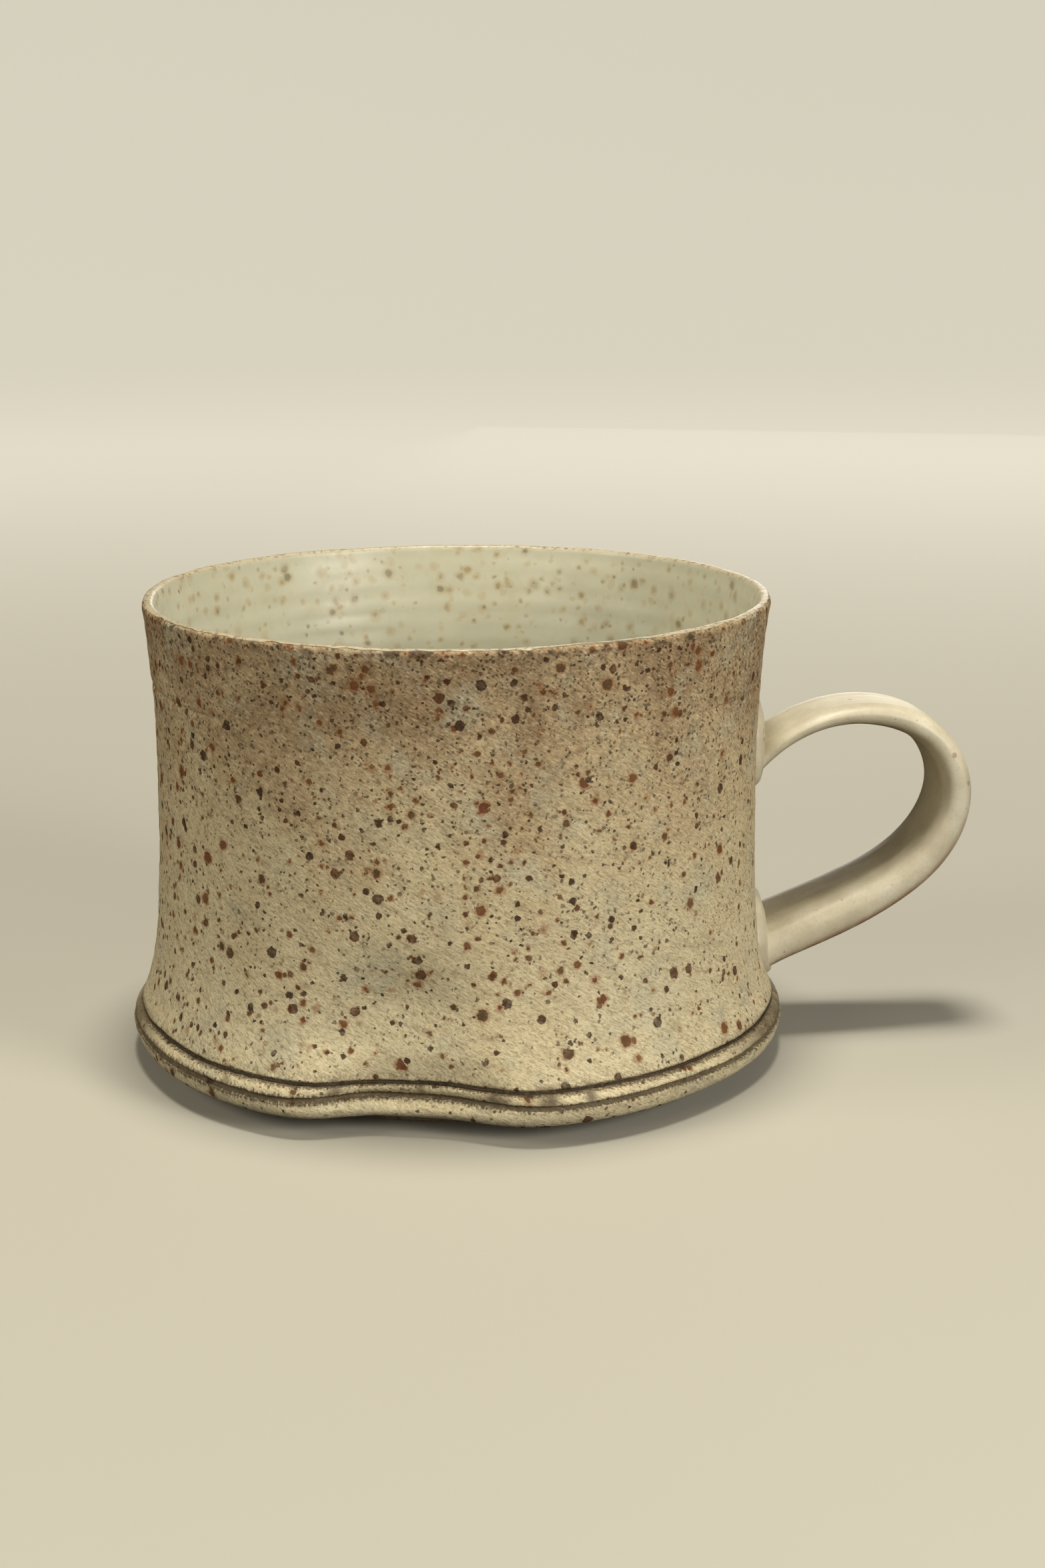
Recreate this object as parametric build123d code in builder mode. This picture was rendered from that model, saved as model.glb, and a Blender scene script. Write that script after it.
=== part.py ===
"""Wide handmade stoneware mug with a pulled strap handle.

The mug stands on the plane Z = 0 with its axis on Z, and the handle points along +X.
Angles are polar angles in degrees about Z, counted from +X towards +Y.
"""

from build123d import *
import os
from math import cos, exp, radians, sin

# ---- driving dimensions, millimetres and degrees -------------------------------------------
foot_height = 3.0
foot_outer_radius = 47.5
foot_inner_radius = 41.5

wall_height = 80.4  # from the underside of the base roll to the crest of the lip
neck_radius = 53.9  # the narrowest level of the wall
neck_height = 43.0
lip_flare = 2.1
base_flare = 4.2
base_flare_height = 6.4
base_flare_decay = 8.8

roll_radius = 59.4  # the rounded edge that runs round the base
roll_rounding = 2.6
groove_depth = 0.8
groove_half_width = 0.5
groove_floor_half_width = 0.25
lower_groove_height = 3.85
upper_groove_height = 6.25
wash_thickness = 0.35

dent_angle = -106.5  # the thumb dent in the front of the base
dent_depth = 6.6
dent_width_away = 11.5
dent_width_near = 14.5
crease_depth = 1.8
dimple_depth = 3.7
dimple_height = 18.8
dimple_width = 9.5
dimple_half_height = 5.6
bulge = 2.0  # clay pushed out on both sides of the dent
bulge_width = 46.0

lip_wall = 2.1
lip_rounding = 1.1  # height of the lip's rounded part
clay_lip_drop = 0.5  # the clay's own lip stays this far under the glazed crest
lap_step = 0.35  # how far the clay is set back where the lining glaze laps over it
floor_wall_extra = 2.4
floor_thickness = 5.0
floor_cove = 5.0
glaze_thickness = 0.4
glaze_lip_drop = 1.5

strap_width_top = 15.0
strap_width_gain = 6.0
strap_thickness_top = 3.5
strap_thickness_gain = 5.0
strap_thickening = (0.07, 0.83)  # shares of the strap's length between which it thickens

joint_root = 7.0  # how far inside its face a joint pad starts
joint_shoulder = 0.8  # how far inside its face a joint pad starts to round over
joint_shrinks = (0.0, 1.2, 2.2)  # how much smaller the oval is at its root, shoulder and face

outline_points = 48
strap_sections = 17


# ---- the shape of the wall --------------------------------------------------------------------
def fade(distance, width, power):
    """A smooth hill, 1 at its middle, that falls to a half at the given width."""
    return 0.5 ** ((abs(distance) / width) ** power)


def plain_radius(height):
    """Radius of the thrown wall before it was pressed in, at a height above the base roll."""
    flare = base_flare * exp((base_flare_height - height) / base_flare_decay)
    reach = max(0.0, height - neck_height) / (wall_height - lip_rounding - neck_height)
    return neck_radius + flare + lip_flare * reach**2.5


def pressed_by(height, angle):
    """How far the pressed base moves the wall outwards at one point; negative is inwards."""
    turn = (angle - dent_angle + 180) % 360 - 180
    above = max(0.0, height - 4.0)
    narrowing = 1 - 0.2 * min(1.0, above / 12)
    width = (dent_width_near if turn > 0 else dent_width_away) * narrowing
    dent = dent_depth * fade(turn, width, 3.2) * fade(above, 6.2, 2)
    crease = crease_depth * fade(turn, width, 3.2) * fade(height - lower_groove_height, 1.1, 2)
    dimple = dimple_depth * fade(turn, dimple_width, 2) * fade(height - dimple_height, dimple_half_height, 2)
    lobe = bulge * fade(turn, bulge_width, 5) * fade(above, 10.5, 2)
    return lobe - dent - crease - dimple


def outline(height, radius, inset=0.0):
    """Points round the pressed section at one height, for a given plain radius."""
    points = []
    for step in range(outline_points):
        angle = 360 * step / outline_points
        reach = radius - inset + pressed_by(height, angle)
        points.append((reach * cos(radians(angle)), reach * sin(radians(angle))))
    return points


def wall_thickness(height):
    """Clay and glaze together: thin at the lip, thicker towards the floor."""
    return lip_wall + floor_wall_extra * (1 - height / wall_height)


def sections(levels):
    """One level sketch of the pressed outline for each (height, radius), lowest first."""
    sketches = []
    for height, radius in levels:
        with BuildSketch(Plane.XY.offset(foot_height + height)) as section:
            with BuildLine():
                Spline(*outline(height, radius), periodic=True)
            make_face()
        sketches.append(section.sketch)
    return sketches


def roll_levels():
    """The rounded underside of the base roll, as a quarter circle."""
    levels = []
    for angle in (0, 30, 60, 90):
        height = roll_rounding * (1 - cos(radians(angle)))
        levels.append((height, roll_radius - roll_rounding * (1 - sin(radians(angle)))))
    return levels


def groove_levels(height, radius_below, radius_above):
    """A groove with a flat floor and sloping sides."""
    floor = (radius_below + radius_above) / 2 - groove_depth
    return [
        (height - groove_half_width, radius_below),
        (height - groove_floor_half_width, floor),
        (height + groove_floor_half_width, floor),
        (height + groove_half_width, radius_above),
    ]


def cove_levels(floor_height, inset):
    """The hollow's rounded corner between its floor and its wall."""
    levels = []
    for angle in (0, 22.5, 45, 67.5, 90):
        height = floor_height + floor_cove * (1 - cos(radians(angle)))
        radius = plain_radius(height) - wall_thickness(height) + inset
        levels.append((height, radius - floor_cove * (1 - sin(radians(angle)))))
    return levels


def inner_levels(inset):
    """The inside of the wall above the cove, moved outwards by the inset."""
    return [(height, radius - wall_thickness(height) + inset) for height, radius in wall_levels[3:]]


band_radius = plain_radius(5.05)
lower_groove = groove_levels(lower_groove_height, roll_radius - 0.1, band_radius)
upper_groove = groove_levels(upper_groove_height, band_radius, plain_radius(6.75))
wall_heights = [8, 9.5, 11, 13, 15, 17, 19, 21, 23, 25, 27, 30, 34, 40, 47, 54, 61, 67, 72, 76]
lip_start = wall_height - glaze_lip_drop
lip_radius = plain_radius(lip_start)
wall_levels = [(height, plain_radius(height)) for height in wall_heights]

# ---- working shapes, used only to cut and trim -------------------------------------------------
outer_levels = roll_levels() + lower_groove + upper_groove + wall_levels
clay_lip = wall_height - clay_lip_drop
outer_levels += [
    (lip_start, lip_radius),
    (lip_start + 0.1, lip_radius - lap_step),
    (clay_lip - 0.4, lip_radius - lap_step - 0.1),
    (clay_lip, lip_radius - lap_step - 0.5),
]
with BuildPart() as outer_shape:
    loft(sections(outer_levels), ruled=True)

hollow_levels = cove_levels(floor_thickness, glaze_thickness) + inner_levels(glaze_thickness)
hollow_levels += [
    (lip_start, lip_radius - lip_wall + glaze_thickness),
    (clay_lip, lip_radius - lip_wall + glaze_thickness + 0.45),
    (wall_height + 1.0, lip_radius - lip_wall + glaze_thickness + 1.0),
]
with BuildPart() as clay_hollow:
    loft(sections(hollow_levels), ruled=True)

drink_levels = cove_levels(floor_thickness + glaze_thickness, 0.0) + inner_levels(0.0)
drink_levels += [
    (lip_start, lip_radius - lip_wall),
    (clay_lip, lip_radius - lip_wall + 0.15),
    (wall_height, lip_radius - lip_wall + 0.6),
    (wall_height + 1.0, lip_radius - lip_wall + 1.4),
]
with BuildPart() as drink_space:
    loft(sections(drink_levels), ruled=True)

# ---- the clay body ------------------------------------------------------------------------------
with BuildPart() as mug_body:
    add(outer_shape.part)
    add(clay_hollow.part, mode=Mode.SUBTRACT)

# ---- the glaze that lines the inside and laps over the lip --------------------------------------
cap_levels = [
    (lip_start + 0.1, lip_radius),
    (wall_height - 1.0, lip_radius + 0.05),
    (wall_height - 0.4, lip_radius - 0.2),
    (wall_height, lip_radius - 0.8),
]
core_levels = [(floor_thickness / 2, plain_radius(8) - 3)]
core_levels += [(height, radius - wall_thickness(height) / 2) for height, radius in wall_levels]
core_levels += [(clay_lip - 0.4, lip_radius - lip_wall / 2)]
with BuildPart() as liner_glaze:
    loft(sections(core_levels), ruled=True)
    loft(sections(cap_levels), ruled=True)
    add(mug_body.part, mode=Mode.SUBTRACT)
    add(drink_space.part, mode=Mode.SUBTRACT)


# ---- the dark wash in the floors of the two grooves ---------------------------------------------
def wash_ring(groove):
    """A thin band that lies on a groove's floor all the way round."""
    floor = groove[1:3]
    with BuildPart() as ring:
        loft(sections([(height, radius + wash_thickness) for height, radius in floor]), ruled=True)
        loft(sections(floor), ruled=True, mode=Mode.SUBTRACT)
    return ring.part


lower_groove_wash = wash_ring(lower_groove)
upper_groove_wash = wash_ring(upper_groove)

# ---- the unglazed foot ring under the base -------------------------------------------------------
with BuildPart() as foot_ring:
    with BuildSketch():
        Circle(foot_outer_radius)
        Circle(foot_inner_radius, mode=Mode.SUBTRACT)
    extrude(amount=foot_height)
    fillet(foot_ring.edges().group_by(Axis.Z)[0], radius=0.8)

# ---- the pulled strap of the handle ---------------------------------------------------------------
with BuildLine(Plane.XZ) as strap_line:
    Spline(
        (52.0, 49.0),
        (58.4, 54.7),
        (67.2, 58.9),
        (76.5, 59.6),
        (86.6, 55.8),
        (92.0, 45.5),
        (88.7, 35.0),
        (79.2, 26.7),
        (67.0, 20.9),
        (52.0, 15.0),
    )


def strap_width(along):
    return strap_width_top + strap_width_gain * along**1.5


def strap_thickness(along):
    """Thin at the upper end, thickening smoothly round the bend."""
    start, end = strap_thickening
    share = min(1.0, max(0.0, (along - start) / (end - start)))
    return strap_thickness_top + strap_thickness_gain * share * share * (3 - 2 * share)


with BuildPart() as handle_strap:
    for section in range(strap_sections):
        along = section / (strap_sections - 1)
        here = Plane(origin=strap_line.line @ along, x_dir=(0, 1, 0), z_dir=strap_line.line % along)
        with BuildSketch(here):
            RectangleRounded(strap_width(along), strap_thickness(along), 0.45 * strap_thickness(along))
    loft()
    add(outer_shape.part, mode=Mode.SUBTRACT)


# ---- the wads of clay that fix the strap's two ends to the wall ------------------------------------
def joint_pad(height, half_width, half_height, face_x):
    """An oval pad that narrows away from the wall, trimmed to the wall and round the strap."""
    places = (face_x - joint_root, face_x - joint_shoulder, face_x)
    with BuildPart() as pad:
        for x, shrink in zip(places, joint_shrinks):
            with BuildSketch(Plane(origin=(x, 0, height), x_dir=(0, 1, 0), z_dir=(1, 0, 0))):
                Ellipse(half_width - shrink, half_height - shrink)
        loft(ruled=True)
        add(outer_shape.part, mode=Mode.SUBTRACT)
        add(handle_strap.part, mode=Mode.SUBTRACT)
    return pad.part


upper_handle_joint = joint_pad(height=54.5, half_width=10.5, half_height=9.5, face_x=56.4)
lower_handle_joint = joint_pad(height=18.7, half_width=14.5, half_height=9.0, face_x=58.6)

# ---- export -----------------------------------------------------------------------------------------
pieces = {
    "mug_body": mug_body.part,
    "liner_glaze": liner_glaze.part,
    "lower_groove_wash": lower_groove_wash,
    "upper_groove_wash": upper_groove_wash,
    "foot_ring": foot_ring.part,
    "handle_strap": handle_strap.part,
    "upper_handle_joint": upper_handle_joint,
    "lower_handle_joint": lower_handle_joint,
}

os.makedirs("parts", exist_ok=True)
for name, piece in pieces.items():
    piece.label = name
    export_step(piece, f"parts/{name}.step")
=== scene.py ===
"""Looks for the handmade stoneware mug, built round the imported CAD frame.

Shapes are worked out in millimetres, with the mug's axis on Z and the handle along +X, and are
scaled to metres when a mesh is made. Angles are polar angles in degrees, from +X towards +Y.
"""

import math

import bpy
import numpy as np
from mathutils import Matrix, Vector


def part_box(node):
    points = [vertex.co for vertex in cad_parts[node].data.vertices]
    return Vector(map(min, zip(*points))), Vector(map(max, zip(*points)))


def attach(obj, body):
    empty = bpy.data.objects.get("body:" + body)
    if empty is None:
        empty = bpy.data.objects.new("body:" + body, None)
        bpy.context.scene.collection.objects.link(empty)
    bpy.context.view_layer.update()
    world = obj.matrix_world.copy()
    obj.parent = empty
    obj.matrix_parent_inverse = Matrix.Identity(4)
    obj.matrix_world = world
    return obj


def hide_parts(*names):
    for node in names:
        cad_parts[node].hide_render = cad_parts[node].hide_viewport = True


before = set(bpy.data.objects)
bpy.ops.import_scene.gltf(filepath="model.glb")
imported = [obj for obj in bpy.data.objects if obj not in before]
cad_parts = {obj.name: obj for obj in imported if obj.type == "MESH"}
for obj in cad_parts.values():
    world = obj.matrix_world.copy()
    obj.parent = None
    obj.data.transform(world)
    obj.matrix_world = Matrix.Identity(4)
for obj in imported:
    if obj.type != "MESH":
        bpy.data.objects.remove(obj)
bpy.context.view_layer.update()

MM = 0.001


def box_mm(node):
    """The lowest and highest corner of a CAD node, in millimetres."""
    low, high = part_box(node)
    return np.array(low) / MM, np.array(high) / MM


# ---- dimensions read from the frame, millimetres -------------------------------------------------
body_low = box_mm("mug_body")[0]
liner_high = box_mm("liner_glaze")[1]
foot_high = box_mm("foot_ring")[1]
lower_wash_low, lower_wash_high = box_mm("lower_groove_wash")
upper_wash_low, upper_wash_high = box_mm("upper_groove_wash")
upper_joint_low, upper_joint_high = box_mm("upper_handle_joint")
lower_joint_low, lower_joint_high = box_mm("lower_handle_joint")

BASE = body_low[2]  # underside of the base roll
RIM = liner_high[2] - BASE  # height of the lip's crest above it
LIP_RADIUS = liner_high[1]
LOWER_GROOVE = (lower_wash_low[2] + lower_wash_high[2]) / 2 - BASE
UPPER_GROOVE = (upper_wash_low[2] + upper_wash_high[2]) / 2 - BASE
FOOT_RADIUS = foot_high[1]

# ---- the wall's shape, as in the CAD model -------------------------------------------------------
NECK_RADIUS = 53.9
NECK_HEIGHT = 43.0
NECK_CURVE = 2.5  # how late the wall flares above the neck
BASE_FLARE = 4.2
BASE_FLARE_HEIGHT = 6.4
BASE_FLARE_DECAY = 8.8
ROLL_RADIUS = 59.4
ROLL_ROUNDING = 2.6
DENT_ANGLE = -106.5
DENT_DEPTH = 6.6
DENT_WIDTH_AWAY = 11.5
DENT_WIDTH_NEAR = 14.5
DENT_POWER = 3.2
DENT_FULL_HEIGHT = 4.0  # the dent is at its deepest up to this height
DENT_HALF_HEIGHT = 6.2  # and half as deep this much further up
DENT_NARROWING = 0.2
DENT_NARROWING_HEIGHT = 12.0
CREASE_DEPTH = 1.8
CREASE_HALF_HEIGHT = 1.1
DIMPLE_DEPTH = 3.7
DIMPLE_HEIGHT = 18.8
DIMPLE_WIDTH = 9.5
DIMPLE_HALF_HEIGHT = 5.6
BULGE = 2.0
BULGE_WIDTH = 46.0
BULGE_POWER = 5
BULGE_HALF_HEIGHT = 10.5
LIP_WALL = 2.1
FLOOR_WALL_EXTRA = 2.4
FLOOR_HEIGHT = 5.4
COVE = 5.0
GLAZE = 0.4
FOOT_WIDTH = 6.0
LIP_START = RIM - 1.1  # the lip's rounding starts here

# ---- the wall's finer shape, set for these meshes alone ------------------------------------------
TAIL_TURN = 10.0  # a shallow thumb mark beside the dent, on the side away from the handle
TAIL_DEPTH = 1.5
TAIL_WIDTH = 5.5
TAIL_HEIGHT = 12.5
TAIL_HALF_HEIGHT = 4.2
THROWING_PITCH = 3.7  # height from one throwing ring to the next
RIB_LINE = 65.4  # height of the faint line left by the rib
RIB_CUT = 0.26
RIB_SHELF = 0.05
RIM_TILT = 0.17
GROOVE_HALF_WIDTH = 0.5
LOWER_GROOVE_DEPTH = 0.58
UPPER_GROOVE_DEPTH = 0.48
LOWER_LINE_SEED = 21
UPPER_LINE_SEED = 24
BROAD_WASH_ANGLE = 212  # the lower line's wash is at its widest here
BROAD_WASH_WIDTH = 28
BROAD_WASH_EXTRA = 0.7
WASH_THICKNESS = 0.16
WASH_RADIUS_HEIGHT = 5.05  # the lower line's wash takes the wall's plain radius at this height

AROUND = 640  # points round the wall's meshes


# ---- smooth seeded irregularity ------------------------------------------------------------------
def ripple(angle, orders, seed, height=0.0, climb=0.0):
    """A smooth random wave round the axis, about -1 to 1, made of whole-number orders.

    climb is how fast the wave drifts with height, in radians a millimetre for each order's root.
    """
    draw = np.random.default_rng(seed)
    turn = np.radians(angle)
    total = 0.0
    for order in orders:
        phase, slope = draw.uniform(0, 2 * np.pi), draw.uniform(-1, 1)
        total = total + np.sin(order * turn + phase + slope * climb * np.sqrt(order) * height)
    return total / np.sqrt(len(orders))


def hill(distance, width, power=2.0):
    """1 at its middle, a half at the given width."""
    return 0.5 ** ((np.abs(distance) / width) ** power)


def step(value, low, high):
    """0 below low, 1 above high, smooth between."""
    share = np.clip((value - low) / (high - low), 0, 1)
    return share * share * (3 - 2 * share)


def turned(angle, middle):
    """The turn from middle to angle, -180 to 180."""
    return (angle - middle + 180) % 360 - 180


# ---- the wall ------------------------------------------------------------------------------------
def plain_radius(height):
    """The wall's radius before anything is pressed or cut into it."""
    flare = BASE_FLARE * np.exp((BASE_FLARE_HEIGHT - height) / BASE_FLARE_DECAY)
    reach = np.maximum(0.0, height - NECK_HEIGHT) / (LIP_START - NECK_HEIGHT)
    return NECK_RADIUS + flare + (LIP_RADIUS - NECK_RADIUS) * reach**NECK_CURVE


def pressed_by(height, angle):
    """How far the pressed base moves the wall outwards; negative is inwards."""
    turn = turned(angle, DENT_ANGLE)
    above = np.maximum(0.0, height - DENT_FULL_HEIGHT)
    narrowing = 1 - DENT_NARROWING * np.minimum(1.0, above / DENT_NARROWING_HEIGHT)
    width = np.where(turn > 0, DENT_WIDTH_NEAR, DENT_WIDTH_AWAY) * narrowing
    across = hill(turn, width, DENT_POWER)
    dent = DENT_DEPTH * across * hill(above, DENT_HALF_HEIGHT)
    crease = CREASE_DEPTH * across * hill(height - LOWER_GROOVE, CREASE_HALF_HEIGHT)
    dimple = DIMPLE_DEPTH * hill(turn, DIMPLE_WIDTH) * hill(height - DIMPLE_HEIGHT, DIMPLE_HALF_HEIGHT)
    lobe = BULGE * hill(turn, BULGE_WIDTH, BULGE_POWER) * hill(above, BULGE_HALF_HEIGHT)
    return lobe - dent - crease - dimple


def hand_wobble(height, angle):
    """The small unevenness that throwing and handling leave in the wall."""
    slow = 0.16 * ripple(angle, [2, 3, 4, 5, 7], 11, height, 0.02)
    lumps = 0.05 * ripple(angle, [9, 12, 16, 21, 27], 12, height, 0.12)
    rings = 0.035 * np.sin(2 * np.pi * height / THROWING_PITCH + 0.8 * ripple(angle, [1, 2, 3], 13))
    above_grooves = step(height, UPPER_GROOVE + 1.0, UPPER_GROOVE + 7.0)
    turn = turned(angle, DENT_ANGLE - TAIL_TURN)
    tail = TAIL_DEPTH * hill(turn, TAIL_WIDTH) * hill(height - TAIL_HEIGHT, TAIL_HALF_HEIGHT)
    return slow + (lumps + rings - tail) * above_grooves


def throwing_line(height, angle):
    """A faint line left by the rib high on the wall, which comes and goes round the mug."""
    line_height = RIB_LINE + 0.3 * ripple(angle, [2, 3, 5], 14)
    present = step(ripple(angle, [1, 2, 3, 5], 15), -0.1, 0.5)
    cut = RIB_CUT * hill(height - line_height, 0.34) * present
    shelf = RIB_SHELF * step(height - line_height, -0.3, 1.5) * step(line_height + 9 - height, 0, 8)
    return shelf * present - cut


def rim_lift(height, angle):
    """The rim isn't quite level: a slight tilt and a slow wave."""
    share = np.clip(height / RIM, 0, 1) ** 3
    tilt = RIM_TILT * np.cos(np.radians(angle))
    wave = 0.11 * ripple(angle, [2, 3, 4], 16)
    return share * (tilt + wave + 0.03 * ripple(angle, [7, 11, 15], 17) - 0.15)


def groove_centre(plain_height, angle, seed):
    """The height at which the tool cut a line, wandering a little round the mug."""
    fine = list(range(31, 160, 9))
    return plain_height + 0.12 * ripple(angle, [3, 5, 8, 13], seed) + 0.03 * ripple(angle, fine, seed + 1)


def groove_cut(height, angle):
    """Depth of the two incised lines, and the height above the middle of each."""
    above_lower = height - groove_centre(LOWER_GROOVE, angle, LOWER_LINE_SEED)
    above_upper = height - groove_centre(UPPER_GROOVE, angle, UPPER_LINE_SEED)
    half = GROOVE_HALF_WIDTH + 0.06 * ripple(angle, [6, 11, 17, 29], 23)
    lower = 1 - step(np.abs(above_lower), half * 0.4, half * 1.15)
    upper = 1 - step(np.abs(above_upper), half * 0.5, half * 1.3)
    return LOWER_GROOVE_DEPTH * lower + UPPER_GROOVE_DEPTH * upper, above_lower, above_upper


# where wash has run over the band between the lines: angle, half width in degrees, strength
RUNS = (
    (-137, 0.8, 0.7),
    (-118, 0.9, 0.9),
    (-103.5, 0.8, 0.8),
    (-90.5, 1.9, 1.0),
    (-82.5, 1.8, 1.0),
    (-75.5, 0.9, 0.9),
    (62, 1.5, 0.9),
    (118, 1.2, 0.8),
    (127, 0.8, 0.9),
    (159, 2.0, 0.7),
)
# where it is smeared broadly over both lines
SMEARS = ((-22, 17, 1.0), (-176, 12, 0.9), (95, 14, 0.7))


def smeared(height, angle):
    """How much stray wash lies on the base band, 0 to 1."""
    total = 0.0
    for middle, width, strength in RUNS + SMEARS:
        total = np.maximum(total, strength * hill(turned(angle, middle), width, 3))
    low_end = step(height, LOWER_GROOVE - 1.0, LOWER_GROOVE)
    return total * low_end * (1 - step(height, UPPER_GROOVE + 0.4, UPPER_GROOVE + 1.6))


def wall_radius(height, angle, base_radius):
    """The wall's radius with its pressed base, wobble and rib line."""
    moved = base_radius + pressed_by(height, angle)
    return moved + hand_wobble(height, angle) + throwing_line(height, angle)


def wall_thickness(height):
    return LIP_WALL + FLOOR_WALL_EXTRA * (1 - height / RIM)


# ---- mesh making ---------------------------------------------------------------------------------
def new_object(name, points, faces, material, attributes=None):
    """A smooth-shaded object in the scene, made from millimetre points."""
    mesh = bpy.data.meshes.new(name)
    mesh.from_pydata((points * MM).tolist(), [], faces)
    mesh.validate()
    for key, values in (attributes or {}).items():
        layer = mesh.attributes.new(key, "FLOAT", "POINT")
        layer.data.foreach_set("value", np.asarray(values, np.float32).ravel())
    mesh.polygons.foreach_set("use_smooth", [True] * len(mesh.polygons))
    mesh.update()
    made = bpy.data.objects.new(name, mesh)
    bpy.context.scene.collection.objects.link(made)
    made.data.materials.append(material)
    return made


def new_piece(name, points, faces, material, replaced, attributes=None):
    """A piece of the mug, attached to its body, in place of the CAD node that it replaces, which is hidden.
    """
    piece = new_object(name, points, faces, material, attributes)
    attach(piece, "root")
    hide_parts(replaced)
    return piece


def ring_faces(rings, count, closed=False):
    """Quads between neighbouring rings of points; the rings run anticlockwise and upwards."""
    faces = []
    last = rings if closed else rings - 1
    for row in range(last):
        here, above = row * count, ((row + 1) % rings) * count
        for column in range(count):
            beside = (column + 1) % count
            faces.append((here + column, here + beside, above + beside, above + column))
    return faces


def capped_rings(rows):
    """Rings of points closed by a fan at each end: points and faces."""
    rings, count = rows.shape[0], rows.shape[1]
    points = np.concatenate([rows.reshape(-1, 3), [rows[0].mean(0)], [rows[-1].mean(0)]])
    faces = ring_faces(rings, count)
    start, end, top = rings * count, rings * count + 1, (rings - 1) * count
    for column in range(count):
        beside = (column + 1) % count
        faces.append((start, beside, column))
        faces.append((end, top + column, top + beside))
    return points, faces


def polar(radius, height, angle):
    """Points at those radii and heights above the base roll."""
    turn = np.radians(angle)
    height = height + np.zeros_like(radius)
    return np.stack([radius * np.cos(turn), radius * np.sin(turn), height + BASE], axis=-1)


def angles(count):
    return np.arange(count) * 360.0 / count


# ---- node materials ------------------------------------------------------------------------------
class Paint:
    """Writes one material's nodes. Sizes are in millimetres of the object's own space."""

    def __init__(self, name):
        self.material = bpy.data.materials.new(name)
        self.material.use_nodes = True
        self.tree = self.material.node_tree
        self.shader = self.tree.nodes["Principled BSDF"]
        place = self.add("ShaderNodeTexCoord").outputs["Object"]
        self.place = self.vector("SCALE", place, scale=1 / MM)
        parts = self.add("ShaderNodeSeparateXYZ", {0: self.place})
        self.height = parts.outputs["Z"]
        self.towards_handle = parts.outputs["X"]

    def add(self, kind, inputs=None, **settings):
        made = self.tree.nodes.new(kind)
        for key, value in settings.items():
            setattr(made, key, value)
        for key, value in (inputs or {}).items():
            if isinstance(value, bpy.types.NodeSocket):
                self.tree.links.new(value, made.inputs[key])
            else:
                made.inputs[key].default_value = value
        return made

    def math(self, operation, first, second=0.0, clamp=False):
        made = self.add("ShaderNodeMath", {0: first, 1: second}, operation=operation, use_clamp=clamp)
        return made.outputs[0]

    def vector(self, operation, first, second=(0, 0, 0), scale=1.0):
        made = self.add("ShaderNodeVectorMath", {0: first, 1: second}, operation=operation)
        made.inputs[3].default_value = scale
        return made.outputs[0]

    def remap(self, value, low, high, to_low=0.0, to_high=1.0, smooth=False):
        kind = "SMOOTHSTEP" if smooth else "LINEAR"
        inputs = {"Value": value, "From Min": low, "From Max": high, "To Min": to_low, "To Max": to_high}
        return self.add("ShaderNodeMapRange", inputs, interpolation_type=kind, clamp=True).outputs[0]

    def noise(self, size, detail=2.0, roughness=0.5, place=None, shift=0.0):
        where = self.vector("ADD", place or self.place, (shift, shift * 0.7, -shift))
        inputs = {"Vector": where, "Scale": 1 / size, "Detail": detail, "Roughness": roughness}
        return self.add("ShaderNodeTexNoise", inputs)

    def mix(self, share, first, second):
        """Colours mixed: share 0 is the first, 1 the second."""
        return self.add("ShaderNodeMix", {0: share, 6: first, 7: second}, data_type="RGBA").outputs[2]

    def ramp(self, value, stops):
        made = self.add("ShaderNodeValToRGB", {0: value})
        elements = made.color_ramp.elements
        while len(elements) < len(stops):
            elements.new(0.5)
        for element, (position, colour) in zip(elements, stops):
            element.position = position
            element.color = colour
        return made.outputs[0]

    def attribute(self, name):
        return self.add("ShaderNodeAttribute", attribute_name=name).outputs["Fac"]

    def ragged_place(self, size, detail, roughness, reach):
        """The place, pushed about by noise, so that spots come out uneven."""
        warp = self.noise(size, detail, roughness).outputs["Color"]
        warp = self.vector("SUBTRACT", warp, (0.5, 0.5, 0.5))
        return self.vector("ADD", self.place, self.vector("SCALE", warp, scale=reach))

    def spots(self, cell, small, large, share, soft, place, shift=0.0):
        """Scattered round spots, one a cell at most.

        Gives their mask, the distance over their radius, a random number for each, and which cells
        have one. share is how many cells do, from 0 to 1.
        """
        where = self.vector("ADD", place, (shift, -shift, shift * 0.5))
        cells = self.add("ShaderNodeTexVoronoi", {"Vector": where, "Scale": 1 / cell, "Randomness": 1.0})
        draws = self.add("ShaderNodeSeparateColor", {0: cells.outputs["Color"]})
        distance = self.math("MULTIPLY", cells.outputs["Distance"], cell)
        radius = self.remap(draws.outputs[0], 0, 1, small, large)
        present = self.math("LESS_THAN", draws.outputs[1], share)
        edge = self.math("SUBTRACT", radius, soft)
        mask = self.remap(distance, edge, radius, 1.0, 0.0, smooth=True)
        reach = self.math("DIVIDE", distance, radius)
        return self.math("MULTIPLY", mask, present), reach, draws.outputs[2], present

    def bump(self, height):
        """height is in millimetres."""
        made = self.add("ShaderNodeBump", {"Strength": 1.0, "Distance": MM, "Height": height})
        self.tree.links.new(made.outputs[0], self.shader.inputs["Normal"])

    def finish(self, colour, roughness, specular):
        self.tree.links.new(colour, self.shader.inputs["Base Color"])
        if isinstance(roughness, bpy.types.NodeSocket):
            self.tree.links.new(roughness, self.shader.inputs["Roughness"])
        else:
            self.shader.inputs["Roughness"].default_value = roughness
        self.shader.inputs["Specular IOR Level"].default_value = specular
        return self.material


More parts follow.
